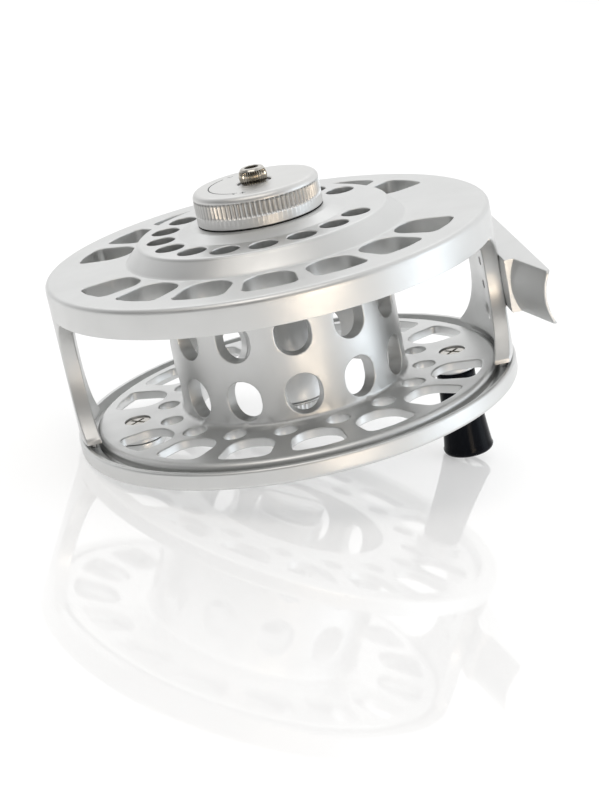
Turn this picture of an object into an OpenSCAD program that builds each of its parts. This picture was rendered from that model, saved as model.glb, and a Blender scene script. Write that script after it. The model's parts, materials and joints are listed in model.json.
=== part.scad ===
// Half-frame large-arbor fly reel with an internal disc drag.
// Z is the spool axis: the drag knob is at +Z and the winding handle at -Z.
// Z = 0 is the middle of the line channel. The rod foot is at +X.

/* [Frame] */
// Outer radius of the frame rim
frame_r = 47.2; // [46.8:0.1:47.6]
// Top face of the back plate
plate_top = 20; // [19.8:0.1:20.4]
// Height of the rim band below the top face
rim_h = 6.1; // [5.6:0.1:6.4]
// Thickness of the back plate
plate_t = 3.4; // [3:0.1:3.8]
// Radial thickness of the rim
wall = 2.5; // [2.3:0.1:2.7]
// Lower end of the pillars
pillar_bottom = -13.2; // [-13.2:0.1:-12.8]
// Half width of the foot pillar at its waist
foot_waist = 8.8; // [7.5:0.1:9]
// Half width of the plain pillar at its waist
plain_waist = 5; // [4.5:0.1:6]
// Half width of the foot pillar at its lower end
foot_flare = 17.5; // [16:0.5:19]
// Half width of the plain pillar at its lower end
plain_flare = 11; // [10:0.5:13]

/* [Ports] */
// Number of ports on each half of the back plate
plate_ports = 7; // [7:1:7]
// Angle between neighbouring back plate ports
plate_port_step = 20.6; // [20.2:0.1:20.8]
// Angle from the foot to the first back plate port
plate_port_first = 33.1; // [32:0.1:34]
// Inner radius of the ports
port_in = 30.4; // [30.2:0.1:30.8]
// Outer radius of the back plate ports
port_out = 41.8; // [41:0.1:42]
// Outer radius of the spool ports
spool_port_out = 41; // [40:0.1:41.2]
// Half width of a port at its inner end
port_half_in = 4.75; // [4:0.05:4.8]
// Half width of a port at its outer end
port_half_out = 5.6; // [5.2:0.1:5.8]
// Corner radius at the outer end of a port
port_corner = 1.9; // [1.6:0.1:2.2]

/* [Boss] */
// Radius of the boss where it meets the plate
boss_base_r = 29.6; // [29:0.1:30]
// Radius of the flat top of the boss
boss_top_r = 26.9; // [26:0.1:27.2]
// Height of the flat top of the boss
boss_top = 23.6; // [23.4:0.1:23.8]
// Radius of the circle of boss holes
boss_hole_pcr = 21.6; // [21.4:0.1:21.8]
// Diameter of a boss hole
boss_hole_d = 6; // [5.6:0.1:6.2]
// Top of the raised collar under the knob
collar_top = 24.9; // [24.8:0.1:25]

/* [Spool] */
// Radius of the arbor that the line is wound on
arbor_r = 24.4; // [24:0.1:24.8]
// Wall thickness of the arbor
arbor_t = 3; // [2.6:0.1:3.2]
// Half length of the line channel
channel = 13.55; // [13.5:0.05:13.6]
// Outer radius of the palming ring
ring_r = 47.6; // [47.4:0.1:48]
// Lowest face of the palming ring
ring_bottom = -17.5; // [-17.8:0.1:-17.3]
// Radius of the flange inside the ring groove
flange_r = 43.6; // [43.2:0.1:43.7]
// Number of port positions round the spool
spool_ports = 16; // [16:2:16]
// Holes in each row round the arbor
arbor_holes = 12; // [12:4:12]
// Width of an arbor hole
arbor_hole_w = 7.6; // [7.2:0.1:8]
// Length of an arbor hole
arbor_hole_l = 8.5; // [8.2:0.1:8.7]
// Height of the lower row of arbor holes
row_low = -7.8; // [-7.9:0.1:-7.6]
// Height of the upper row of arbor holes
row_high = 4.8; // [4.5:0.1:5]

/* [Drag] */
// Radius of the drag knob
knob_r = 13.3; // [13.2:0.1:13.4]
// Underside of the drag knob
knob_bottom = 25.1; // [25.1:0.05:25.3]
// Top of the drag knob
knob_top = 31.9; // [31.8:0.1:32.2]
// Number of ribs round the knob
knob_ribs = 80; // [60:2:90]
// Inner radius of the drag chamber
chamber_r = 16.5; // [16.4:0.1:16.6]
// Number of detent positions of the knob and of the click gear
detents = 24; // [24:12:24]

/* [Shaft] */
// Radius of the shaft that the bearings run on
shaft_r = 2.97; // [2.95:0.01:2.98]
// Outer radius of a ball bearing
bearing_r = 6.5; // [6.5:0.1:6.5]
// Width of a ball bearing
bearing_w = 5; // [5:0.5:5]

/* [Handle] */
// Distance of the handle from the spool axis
handle_x = 34.7; // [34.5:0.1:35]
// Tip of the handle knob
handle_tip = -37; // [-38:0.1:-36]
// Largest radius of the handle knob
handle_r = 5.5; // [5.3:0.1:5.7]
// Radius of the counterweight
counter_r = 5.2; // [5:0.1:5.4]

/* [Foot] */
// Half length of the rod foot
foot_half = 29; // [27:0.5:30]
// Width of the rod foot
foot_w = 11.4; // [11:0.2:12]
// Half length of the thick middle block of the rod foot
foot_block = 15; // [12:0.5:17]
// Distance of the block's flat underside from the spool axis
foot_base_x = 46.3; // [46:0.1:46.6]
// Height of the middle of the rod foot
foot_z = 2; // [1.6:0.1:2.2]
// Distance of the saddle's lowest line from the spool axis
saddle_x = 51.1; // [50.6:0.1:51.4]
// Radius of the saddle that lies on the rod seat
saddle_r = 11.6; // [11:0.2:12]

/* [Hidden] */
$fn = 96;
eps = 0.01;
clear = 0.05;

// frame
rim_bottom = plate_top - rim_h;
plate_bottom = plate_top - plate_t;
rim_in = frame_r - wall;
pillar_in = flange_r + 0.3;
pillar_reach = 20;
boss_roof = boss_top - 2.5;
collar_r = 14.8;
collar_base_r = 18;
boss_pitch = 360 / 17;
skirt_r = chamber_r + 1.9;

// rod foot
foot_screw_gap = 2.6;
foot_slope = 14.5;
foot_end_t = 0.6;
foot_thread_r = 0.9;
foot_head_r = 1.9;
dimple_r = 2.67;
dimple_z = -6.5;

// drag stack, from the roof of the chamber down
shaft_flange_r = 5.5;
shaft_flange_t = 1;
pin_r = 1.25;
pin_pcr = 7.6;
washer_top = boss_roof - 0.1;
washer_t = 0.6;
spring_h = 1.5;
spring_low = washer_top - washer_t - spring_h;
plate_low = spring_low - 1.2;
disc_t = 0.8;
disc_in = 8.6;
rotor_t = 1.6;
rotor_top = plate_low - disc_t;
rotor_low = rotor_top - rotor_t;
cover_top = rotor_low - disc_t;
cover_t = 1.6;
cover_low = cover_top - cover_t;
ear_r = 2.6;
ear_pcr = 18.2;
ear_tap_r = 1;
ear_step = 6 * boss_pitch;
ear_first = 180 - boss_pitch / 2;
sleeve_r = 4.97;
roller_r = 0.55;
clutch_r = 7;
rotor_hub_r = 8.1;
cover_bore = 8.5;

// knob and its detent
knob_cavity_r = 10.5;
knob_cavity_top = knob_bottom + 3.3;
knob_bore = 2.66;
knob_sink_r = 3.6;
knob_edge = 1.3;
knob_sink = 0.9;
detent_pcr = 11.6;
detent_r = 0.8;
detent_lift = 0.35;
detent_z = knob_bottom - 0.1 - detent_r;
o_ring_r = 12.85;
o_ring_t = 0.35;
o_ring_z = collar_top - 0.2;

// spool hub
flange_t = 1.95;
web_top = 8.4;
web_t = 1.8;
web_floor_r = 17.6;
web_rise = 3;
hub_r = 7.8;
hub_low = -15.1;
front_low = -14.9;
rear_low = web_top - bearing_w;
spacer_bore = 3.0;
spigot_r = 8.2;
spigot_top = 12.3;
hex_af = 11.6;
hex_low = 9.2;
gear_r = 11.2;
gear_top = 11.2;
click_z = 10.2;
plunger_r = 0.85;
fillet_out = 2.4;
fillet_up = 1;

// handle and counterweight
boss_low = ring_bottom;
screw_head_r = 2.6;
screw_shank_r = 1.5;
counter_h = 1.6;
pad_r = 5;
axle_r = 2.2;
bush_r = 3;

function arc(c, r, a0, a1, n = 6) =
    [for (i = [0:n]) c + r * [cos(a0 + (a1 - a0) * i / n), sin(a0 + (a1 - a0) * i / n)]];
function unit(v) = v / norm(v);
function corner(a, b, c, r, n) =
    let (u = unit(a - b), v = unit(c - b), half = acos(u * v) / 2,
         m = b + unit(u + v) * r / sin(half),
         s = atan2((b + u * r / tan(half) - m)[1], (b + u * r / tan(half) - m)[0]),
         e = atan2((b + v * r / tan(half) - m)[1], (b + v * r / tan(half) - m)[0]),
         turn = (e - s) - 360 * round((e - s) / 360))
    arc(m, r, s, s + turn, n);
function rounded(p, r, n = 5) = let (k = len(p))
    [for (i = [0:k - 1]) each corner(p[(i + k - 1) % k], p[i], p[(i + 1) % k], r[i], n)];
function ribs(n, r, depth) =
    [for (i = [0:2 * n - 1]) (r - (i % 2) * depth) * [cos(180 * i / n), sin(180 * i / n)]];

module at(z) translate([0, 0, z]) children();
module tube(r_out, r_in, low, top) at(low) difference() {
    cylinder(r = r_out, h = top - low);
    at(-1) cylinder(r = r_in, h = top - low + 2);
}
module ring_of(n, r, first = 0, step = 0) for (i = [0:n - 1])
    rotate(first + i * (step == 0 ? 360 / n : step)) translate([r, 0, 0]) children();
module torus(r, t) rotate_extrude() translate([r, 0]) circle(r = t, $fn = 32);
module coil(r, wire, length, turns) {
    sides = 8;
    per_turn = 14;
    steps = turns * per_turn;
    rings = [for (i = [0:steps], j = [0:sides - 1])
        let (a = 360 * i / per_turn, b = 360 * j / sides)
        [(r + wire * cos(b)) * cos(a), (r + wire * cos(b)) * sin(a),
         wire + (length - 2 * wire) * i / steps + wire * sin(b)]];
    sides_f = [for (i = [0:steps - 1], j = [0:sides - 1])
        let (k = (j + 1) % sides)
        [i * sides + j, (i + 1) * sides + j, (i + 1) * sides + k, i * sides + k]];
    ends = [[for (j = [0:sides - 1]) j], [for (j = [0:sides - 1]) steps * sides + sides - 1 - j]];
    polyhedron(points = rings, faces = concat(sides_f, ends), convexity = 4);
}

// ---- ports, shared by the back plate and the spool flanges
module port(outer) polygon(rounded(
    [[port_in, -port_half_in], [outer - 0.8, -port_half_out], [outer, 0], [outer - 0.8, port_half_out],
     [port_in, port_half_in]],
    [port_half_in - 0.15, port_corner, 12, port_corner, port_half_in - 0.15]));

// ---- frame
module frame_section() {
    round_top = arc([frame_r - 1.2, plate_top - 1.2], 1.2, 0, 90);
    boss_edge = arc([boss_top_r - 0.3, boss_top - 0.6], 0.6, 45, 90, 3);
    polygon(concat(
        [[0, boss_roof], [boss_top_r - 1.8, boss_roof], [boss_base_r - 2, plate_bottom],
         [rim_in - 1.2, plate_bottom], [rim_in, plate_bottom - 1.2], [rim_in, rim_bottom],
         [frame_r - 0.4, rim_bottom], [frame_r, rim_bottom + 0.4]],
        round_top,
        [[boss_base_r + 0.4, plate_top], [boss_base_r - 0.1, plate_top + 0.3]],
        boss_edge,
        [[collar_base_r, boss_top], [collar_r, collar_top], [0, collar_top]]));
}
module pillar_outline(waist, flare) {
    mid = 2.4;
    low = pillar_bottom + 0.9;
    high = rim_bottom - 0.6;
    lower = [for (u = [10:-1:0]) [waist + (flare - waist) * pow(u / 10, 2.2), mid + (low - mid) * u / 10]];
    upper = [for (u = [1:8]) [waist + (flare - waist) * pow(u / 8, 2.6), mid + (high - mid) * u / 8]];
    half = concat([[flare, pillar_bottom]], lower, upper, [[flare, rim_bottom + 0.5]]);
    polygon(concat(half, [for (i = [len(half) - 1:-1:0]) [-half[i][0], half[i][1]]]));
}
module pillar(waist, flare) {
    tongue_w = flare - 1.5;
    intersection() {
        tube(frame_r, pillar_in, pillar_bottom - 1, rim_bottom + 0.5);
        translate([pillar_reach, 0, 0]) rotate([90, 0, 90])
            linear_extrude(frame_r) pillar_outline(waist, flare);
    }
    intersection() {
        tube(46, rim_in + 0.1, pillar_bottom - 1.6, pillar_bottom + 1);
        translate([pillar_reach, -tongue_w, pillar_bottom - 2]) cube([frame_r, 2 * tongue_w, 3]);
    }
}
module at_ears() for (i = [0:2]) rotate(ear_first - i * ear_step) translate([ear_pcr, 0, 0]) children();
module drum(low, top, bore, hole) at(low) linear_extrude(top - low) difference() {
    union() {
        circle(r = skirt_r);
        at_ears() circle(r = ear_r);
    }
    circle(r = bore);
    at_ears() circle(r = hole);
}
module frame() color([0.86, 0.87, 0.88]) difference() {
    union() {
        rotate_extrude() frame_section();
        drum(cover_top, boss_roof + 0.5, chamber_r, ear_tap_r);
        pillar(foot_waist, foot_flare);
        rotate(180) pillar(plain_waist, plain_flare);
    }
    for (half = [-1, 1], i = [0:plate_ports - 1]) rotate(half * (plate_port_first + i * plate_port_step))
        at(plate_bottom - 2) linear_extrude(plate_t + 4) port(port_out);
    for (i = [1:15]) rotate((i + 0.5) * boss_pitch)
        translate([boss_hole_pcr, 0, boss_roof - 1]) cylinder(d = boss_hole_d, h = 5);
    at(boss_roof - 1) cylinder(r = 3, h = 6);
    at(boss_roof - 1) ring_of(3, pin_pcr) cylinder(r = pin_r + clear, h = 6);
    translate([0, detent_pcr, collar_top - 2.9]) cylinder(r = detent_r + clear, h = 4);
    at(o_ring_z) torus(o_ring_r, o_ring_t + clear);
    ring_of(3, chamber_r, ear_first + 60) translate([-1, -1.6, cover_top - 1]) cube([2.1, 3.2, 6]);
    at_foot_screws(pillar_reach) cylinder(r = foot_thread_r + clear, h = frame_r);
    translate([pillar_in + 1 - dimple_r, 0, dimple_z]) sphere(r = dimple_r);
}

// ---- rod foot, screwed to the outside of the wide pillar
module foot_half_wing() intersection() {
    translate([frame_r - 4, 0, foot_z - foot_w / 2]) cube([12, foot_half, foot_w]);
    translate([saddle_x + saddle_r, foot_half, foot_z]) rotate([0, 0, -foot_slope]) rotate([90, 0, 0])
        at(-10) cylinder(r = saddle_r + foot_end_t, h = 60);
}
module at_foot_screws(x) for (s = [-1, 1])
    translate([x, 0, foot_z + s * foot_screw_gap]) rotate([0, 90, 0]) children();
module reel_foot() color([0.84, 0.85, 0.87]) difference() {
    union() {
        foot_half_wing();
        mirror([0, 1, 0]) foot_half_wing();
        translate([foot_base_x, -foot_block, foot_z - foot_w / 2]) cube([9, 2 * foot_block, foot_w]);
    }
    translate([saddle_x + saddle_r, 0, foot_z]) rotate([90, 0, 0])
        cylinder(r = saddle_r, h = 3 * foot_half, center = true);
    at(-20) cylinder(r = frame_r, h = 40);
    at_foot_screws(frame_r - 5) cylinder(r = foot_thread_r + clear, h = 12);
    at_foot_screws(saddle_x - 1.5) cylinder(r = foot_head_r + clear, h = 5);
}
module foot_screws() color([0.5, 0.5, 0.52]) difference() {
    union() {
        at_foot_screws(saddle_x - 1.48) cylinder(r = foot_head_r, h = 1.3);
        at_foot_screws(pillar_in + 1) cylinder(r = foot_thread_r, h = saddle_x - 1.4 - pillar_in - 1);
    }
    at_foot_screws(saddle_x - 1) cylinder(r = 1.1, h = 2, $fn = 6);
}

// ---- shaft
module main_spindle() color([0.62, 0.63, 0.65]) difference() {
    rotate_extrude() polygon([[0, -17.6], [2.2, -17.6], [2.4, -17.4], [2.4, front_low - 0.02],
        [shaft_r, front_low],
        [shaft_r, boss_roof - shaft_flange_t], [shaft_flange_r, boss_roof - shaft_flange_t],
        [shaft_flange_r, boss_roof], [2.99, boss_roof], [2.99, collar_top], [2.6, collar_top + 0.2],
        [2.6, knob_top - knob_sink], [0, knob_top - knob_sink]]);
    at(collar_top + 1) cylinder(r = 1.3, h = 8);
}

// ---- drag
module drag_cover() color([0.8, 0.81, 0.82]) difference() {
    union() {
        drum(cover_low, cover_top, cover_bore, ear_tap_r + clear);
        translate([-2.5, 12.2, web_top + 0.4]) cube([5, 5.8, cover_low + 0.5 - web_top - 0.4]);
    }
    at(cover_low - 1) at_ears() cylinder(r = 1.85, h = 1.9);
    translate([0, 12, click_z]) rotate([-90, 0, 0]) cylinder(r = plunger_r + clear, h = 5.2);
}
module drag_cover_screws() color([0.6, 0.6, 0.62]) at(cover_low) at_ears() difference() {
    union() {
        cylinder(r = 1.8, h = 0.88);
        cylinder(r = 0.98, h = 4.4);
    }
    at(-eps) cylinder(r = 0.9, h = 0.6, $fn = 6);
}
module pressure_plate() color([0.7, 0.71, 0.73]) {
    tube(chamber_r - 0.2, 5.9, plate_low, spring_low);
    ring_of(3, chamber_r, ear_first + 60) translate([-0.8, -1.5, plate_low])
        cube([1.8, 3, spring_low - plate_low]);
}
module friction_disc(low) color([0.13, 0.13, 0.14]) tube(16, disc_in, low, low + disc_t);
module upper_friction_disc() friction_disc(rotor_top);
module lower_friction_disc() friction_disc(cover_top);
module belleville_springs() color([0.75, 0.72, 0.6]) for (i = [0:2]) {
    low = spring_low + i * spring_h / 3;
    lean = i % 2 == 0 ? 1 : -1;
    t = 0.2;
    step = spring_h / 3 - t - 0.02;
    a = lean > 0 ? step : 0;
    rotate_extrude()
        polygon([[5.95, low + a], [9, low + step - a], [9, low + step - a + t], [5.95, low + a + t]]);
}
module thrust_washer() color([0.66, 0.67, 0.69])
    tube(9, 5.9, washer_top - washer_t, washer_top);
module drag_nut() color([0.8, 0.66, 0.35]) difference() {
    tube(knob_cavity_r - 0.1, 5.4, knob_bottom + 0.6, knob_bottom + 2.9);
    at(knob_bottom) ring_of(3, pin_pcr) cylinder(r = pin_r, h = 4);
}
module push_pins() color([0.6, 0.61, 0.63]) at(washer_top)
    ring_of(3, pin_pcr) cylinder(r = pin_r - 0.01, h = knob_bottom + 2.9 - washer_top);
module drag_rotor() color([0.6, 0.62, 0.66]) {
    tube(rotor_hub_r, clutch_r, cover_top - 1.3, plate_low - 0.2);
    tube(16, rotor_hub_r - 0.2, rotor_low, rotor_top);
}
module one_way_clutch() color([0.55, 0.55, 0.57]) {
    low = cover_top - 1.1;
    top = plate_low - 0.3;
    difference() {
        tube(clutch_r - 0.01, sleeve_r + 0.25, low, top);
        at(low + 0.4) cylinder(r = sleeve_r + 2 * roller_r + 0.1, h = top - low - 0.8);
    }
    at(low + 0.5) ring_of(10, sleeve_r + roller_r + 0.04) cylinder(r = roller_r, h = top - low - 1);
}
module drive_hub() color([0.65, 0.66, 0.68]) difference() {
    union() {
        at(hex_low) cylinder(r = sleeve_r, h = spring_low - 1 - hex_low);
        at(hex_low) cylinder(r = hex_af / 2 / cos(30), h = spigot_top - 0.2 - hex_low, $fn = 6);
    }
    at(0) cylinder(r = shaft_r + clear, h = 30);
}

// ---- drag knob
module drag_knob() color([0.85, 0.86, 0.87]) difference() {
    union() {
        rotate_extrude() polygon(concat([[0, knob_bottom], [knob_r - 0.3, knob_bottom]],
            [[knob_r, knob_bottom + 0.3], [knob_r, knob_bottom + 1.9], [knob_r - 0.35, knob_bottom + 2.1],
             [knob_r - 0.35, knob_top - knob_edge - 0.2]],
            arc([knob_r - knob_edge, knob_top - knob_edge], knob_edge, 0, 90), [[0, knob_top]]));
        at(knob_bottom + 2) linear_extrude(knob_top - knob_edge - knob_bottom - 2.1)
            polygon(ribs(knob_ribs, knob_r, 0.4));
    }
    difference() {
        at(knob_bottom - 1) cylinder(r = knob_cavity_r, h = 1 + knob_cavity_top - knob_bottom);
        at(knob_bottom) cylinder(r = 5, h = 5);
    }
    cylinder(r = knob_bore, h = 50);
    at(knob_top - knob_sink) cylinder(r = knob_sink_r, h = 5);
    at(detent_z + detent_lift) ring_of(detents, detent_pcr, 90) sphere(r = detent_r + 0.1);
}
module knob_washer() color([0.3, 0.3, 0.31])
    tube(3.4, 1.4, knob_top - knob_sink + 0.02, knob_top - knob_sink + 0.4);
module knob_screw() color([0.62, 0.6, 0.55]) {
    head_low = knob_top - knob_sink + 0.4;
    head_r = 2.9;
    difference() {
        intersection() {
            union() {
                at(head_low) linear_extrude(2.4) polygon(ribs(32, head_r, 0.25));
                at(head_low) cylinder(r = head_r - 0.35, h = 3.5);
            }
            at(head_low) rotate_extrude() polygon([[0, 0], [head_r - 0.2, 0], [head_r + 0.01, 0.21],
                [head_r + 0.01, 2.7], [head_r - 0.8, 3.5], [0, 3.5]]);
        }
        at(head_low + 1.8) cylinder(r = 1.5, h = 3, $fn = 6);
    }
    at(head_low - 3.4) cylinder(r = 1.28, h = 3.4 + eps);
}
module knob_o_ring() color([0.08, 0.08, 0.09]) at(o_ring_z) torus(o_ring_r, o_ring_t);
module knob_detent_ball() color([0.7, 0.7, 0.72]) translate([0, detent_pcr, detent_z]) sphere(r = detent_r);
module knob_detent_spring() color([0.6, 0.6, 0.62]) translate([0, detent_pcr, collar_top - 2.8])
    coil(0.55, 0.12, detent_z - detent_r - collar_top + 2.8, 3);

// ---- spool
module spool_section() {
    flange_top = -channel;
    flange_low = -channel - flange_t;
    rear_top = channel + flange_t;
    bore = arbor_r - arbor_t;
    ring_in = 46.4;
    groove = -16;
    polygon(concat(
        [[bore, flange_low], [43, flange_low], [43.3, ring_bottom + 0.4], [43.7, ring_bottom]],
        arc([ring_r - 0.8, ring_bottom + 0.8], 0.8, -90, 0, 4),
        arc([ring_r - 0.7, ring_bottom + 3.1], 0.7, 0, 90, 4),
        [[ring_in, ring_bottom + 3.6], [ring_in, groove]],
        [[flange_r + 0.4, groove], [flange_r, groove + 0.4]],
        arc([flange_r - 1.2, flange_top - 1.2], 1.2, 0, 90, 5),
        [for (a = [270:-15:180])
            [arbor_r + fillet_out * (1 + cos(a)), flange_top + fillet_up * (1 + sin(a))]],
        [for (a = [180:-15:90])
            [arbor_r + fillet_out * (1 + cos(a)), channel - fillet_up * (1 - sin(a))]],
        [[flange_r - 0.5, channel], [flange_r - 0.1, channel + 0.4],
         [flange_r - 0.1, rear_top - 0.4], [flange_r - 0.5, rear_top],
         [bore + 0.5, rear_top], [bore, rear_top - 0.5],
         [bore, web_top + web_rise], [web_floor_r, web_top], [spigot_r, web_top], [spigot_r, spigot_top],
         [0, spigot_top], [0, hub_low], [hub_r, hub_low], [hub_r, web_top - web_t],
         [web_floor_r + 0.7, web_top - web_t], [bore, web_top + web_rise - web_t - 0.7]]));
}
module arbor_hole() {
    w = arbor_hole_w / 2;
    l = arbor_hole_l / 2;
    translate([arbor_r - arbor_t - 1, 0, 0]) rotate([90, 0, 90]) linear_extrude(arbor_t + 4)
        polygon(rounded([[-w, -l], [w, -l], [w, l], [-w, l]], [for (i = [0:3]) w - 0.05]));
}
module screw_seat() {
    at(-channel - 1.2) cylinder(r = screw_head_r + 0.2, h = 3);
    at(ring_bottom - 1) cylinder(r = screw_shank_r + clear, h = 6);
}
module spool() color([0.85, 0.86, 0.88]) difference() {
    union() {
        rotate_extrude() spool_section();
        for (s = [-1, 1]) translate([s * handle_x, 0, boss_low])
            cylinder(r = pad_r, h = -channel - flange_t + 0.5 - boss_low);
    }
    for (i = [0:spool_ports - 1], end = [-1, 1]) if (end > 0 || i % (spool_ports / 2) != 0)
        rotate(i * 360 / spool_ports) at(end * (channel + 1) - 2) linear_extrude(4) port(spool_port_out);
    ring_of(spool_ports, 28, 180 / spool_ports) at(-channel - 3) cylinder(r = 2.4, h = 5);
    for (i = [0:arbor_holes - 1], z = [row_low, row_high])
        rotate(i * 360 / arbor_holes) at(z) arbor_hole();
    ring_of(6, 14.3, 30) cylinder(r = 2.9, h = 10);
    for (s = [-1, 1]) translate([s * handle_x, 0, 0]) screw_seat();
    at(hub_low - 1) cylinder(r = bearing_r + 0.01, h = 1 + front_low + bearing_w - hub_low);
    at(hub_low) cylinder(r = 5.6, h = 30);
    at(rear_low) cylinder(r = bearing_r + 0.01, h = 10);
    at(web_top) cylinder(r = bearing_r + 0.3, h = 0.5);
    at(hex_low - 0.3) cylinder(r = (hex_af / 2 + 0.1) / cos(30), h = 10, $fn = 6);
}
module race(low, r_out, r_in) color([0.66, 0.67, 0.69]) difference() {
    tube(r_out, r_in, low, low + bearing_w);
    at(low + bearing_w / 2) torus(4.8, 1);
}
module balls(low) color([0.75, 0.76, 0.78]) at(low + bearing_w / 2) ring_of(8, 4.8) sphere(r = 0.95);
module front_bearing_outer() race(front_low, bearing_r, 5.45);
module front_bearing_inner() race(front_low, 4.15, spacer_bore);
module front_bearing_balls() balls(front_low);
module rear_bearing_outer() race(rear_low, bearing_r, 5.45);
module rear_bearing_inner() race(rear_low, 4.15, spacer_bore);
module rear_bearing_balls() balls(rear_low);
module bearing_spacer() color([0.7, 0.7, 0.72])
    tube(4.1, spacer_bore, front_low + bearing_w, rear_low);
module bearing_clip() color([0.35, 0.35, 0.36]) difference() {
    tube(bearing_r + 0.25, 5.6, web_top + 0.02, web_top + 0.45);
    translate([0, -1.5, web_top - 1]) cube([10, 3, 3]);
}
module click_gear() color([0.7, 0.68, 0.62]) difference() {
    tube(gear_r, spigot_r + 0.01, web_top, gear_top);
    at(web_top - 1) ring_of(detents, gear_r + 0.4) cylinder(r = 1, h = 5, $fn = 24);
}
module click_plunger() color([0.72, 0.72, 0.74]) translate([0, gear_r + 0.3 + plunger_r, click_z]) {
    sphere(r = plunger_r);
    rotate([-90, 0, 0]) cylinder(r = plunger_r, h = 2);
}
module click_spring() color([0.6, 0.6, 0.62]) translate([0, gear_r + 0.3 + plunger_r + 2.05, click_z])
    rotate([-90, 0, 0]) coil(0.6, 0.12, 2.65, 4);

// ---- spool cap
module spool_cap() color([0.8, 0.81, 0.83]) difference() {
    union() {
        at(-18.6) linear_extrude(2.6) polygon(ribs(48, 7, 0.3));
        at(-19) rotate_extrude() polygon([[0, 0], [5.9, 0], [6.6, 0.5], [6.6, 3.3], [6.2, 3.6], [3.9, 3.6],
            [3.9, 4.05], [0, 4.05]]);
    }
    at(-17.9) cylinder(r = 2.45, h = 4);
    at(-15.35) torus(4.5, 0.45);
    translate([-7, -0.8, -19.1]) cube([14, 1.6, 0.9]);
}
module cap_o_ring() color([0.08, 0.08, 0.09]) at(-15.35) torus(4.5, 0.4);

// ---- winding handle
module handle_knob() color([0.07, 0.08, 0.1]) translate([handle_x, 0, 0]) difference() {
    rotate_extrude() polygon(concat(
        [[0, handle_tip], [handle_r - 1.6, handle_tip]],
        arc([handle_r - 1.3, handle_tip + 1.3], 1.3, -90, 0, 5),
        [for (i = [1:8]) let (z = handle_tip + 2 + i * (boss_low - 0.9 - handle_tip - 2) / 8,
                              u = (z - handle_tip) / (boss_low - handle_tip))
            [handle_r - 1.3 * sin(90 * min(1, u * 1.1)), z]],
        [[3.9, boss_low - 0.5], [0, boss_low - 0.5]]));
    at(handle_tip + 1.8) cylinder(r = bush_r, h = 30);
    at(handle_tip - 1) cylinder(r = 3.7, h = 2.8);
}
module handle_bushes() color([0.75, 0.6, 0.35]) translate([handle_x, 0, 0]) {
    tube(bush_r - 0.01, axle_r + clear, boss_low - 4.6, boss_low - 0.6);
    tube(bush_r - 0.01, axle_r + clear, handle_tip + 1.85, handle_tip + 5.8);
}
module handle_spindle() color([0.65, 0.66, 0.68]) translate([handle_x, 0, 0]) difference() {
    union() {
        at(handle_tip + 1.6) cylinder(r = axle_r, h = boss_low - handle_tip - 1.6);
        at(handle_tip + 0.4) cylinder(r = 3.4, h = 1.25);
    }
    at(boss_low - 8) cylinder(r = screw_shank_r + 0.02, h = 9);
    translate([-0.5, -5, handle_tip]) cube([1, 10, 0.9]);
}
module flange_screw(x, reach) translate([x, 0, 0]) difference() {
    union() {
        at(-channel - 1.18) cylinder(r = screw_head_r, h = 0.85);
        at(boss_low - reach) cylinder(r = screw_shank_r, h = -channel - 1.1 - boss_low + reach);
    }
    for (a = [45, 135]) rotate(a) translate([-1.9, -0.3, -channel - 0.75]) cube([3.8, 0.6, 1]);
}
module handle_screw() color([0.62, 0.62, 0.64]) flange_screw(handle_x, 2.4);
module handle_washer() color([0.7, 0.7, 0.72]) translate([handle_x, 0, 0])
    tube(3.9, axle_r + clear, boss_low - 0.4, boss_low - 0.01);
module counterweight() color([0.72, 0.72, 0.74]) translate([-handle_x, 0, 0]) difference() {
    at(boss_low - counter_h) rotate_extrude() polygon([[0, 0], [counter_r - 0.4, 0], [counter_r, 0.4],
        [counter_r, counter_h - eps], [0, counter_h - eps]]);
    at(boss_low - 1) cylinder(r = screw_shank_r + 0.02, h = 3);
}
module counterweight_screw() color([0.62, 0.62, 0.64]) flange_screw(-handle_x, 0.9);

frame();
reel_foot();
foot_screws();
main_spindle();
drag_cover();
drag_cover_screws();
pressure_plate();
upper_friction_disc();
lower_friction_disc();
belleville_springs();
thrust_washer();
drag_nut();
push_pins();
drag_rotor();
one_way_clutch();
drive_hub();
drag_knob();
knob_washer();
knob_screw();
knob_o_ring();
knob_detent_ball();
knob_detent_spring();
spool();
front_bearing_outer();
front_bearing_inner();
front_bearing_balls();
rear_bearing_outer();
rear_bearing_inner();
rear_bearing_balls();
bearing_spacer();
bearing_clip();
click_gear();
click_plunger();
click_spring();
spool_cap();
cap_o_ring();
handle_knob();
handle_bushes();
handle_spindle();
handle_screw();
handle_washer();
counterweight();
counterweight_screw();
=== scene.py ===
"""A large-arbor fly reel in bead-blasted silver, standing on its rim and its handle."""
import json
import math

import bmesh
import bpy
from mathutils import Matrix, Vector
from mathutils.geometry import delaunay_2d_cdt


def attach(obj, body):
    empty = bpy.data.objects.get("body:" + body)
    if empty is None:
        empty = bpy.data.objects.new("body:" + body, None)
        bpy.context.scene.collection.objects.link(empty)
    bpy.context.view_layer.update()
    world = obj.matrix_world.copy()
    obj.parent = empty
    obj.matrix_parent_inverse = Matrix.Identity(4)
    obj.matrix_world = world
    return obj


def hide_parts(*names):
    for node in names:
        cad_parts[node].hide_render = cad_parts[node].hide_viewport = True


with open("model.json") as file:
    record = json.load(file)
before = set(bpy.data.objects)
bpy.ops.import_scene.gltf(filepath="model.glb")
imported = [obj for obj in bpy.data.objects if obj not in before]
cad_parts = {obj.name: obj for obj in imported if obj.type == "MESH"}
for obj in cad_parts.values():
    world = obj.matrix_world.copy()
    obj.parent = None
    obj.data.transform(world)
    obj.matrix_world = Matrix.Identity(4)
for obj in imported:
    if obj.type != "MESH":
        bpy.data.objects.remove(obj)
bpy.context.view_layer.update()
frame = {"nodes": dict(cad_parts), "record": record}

MM = 0.001
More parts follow.
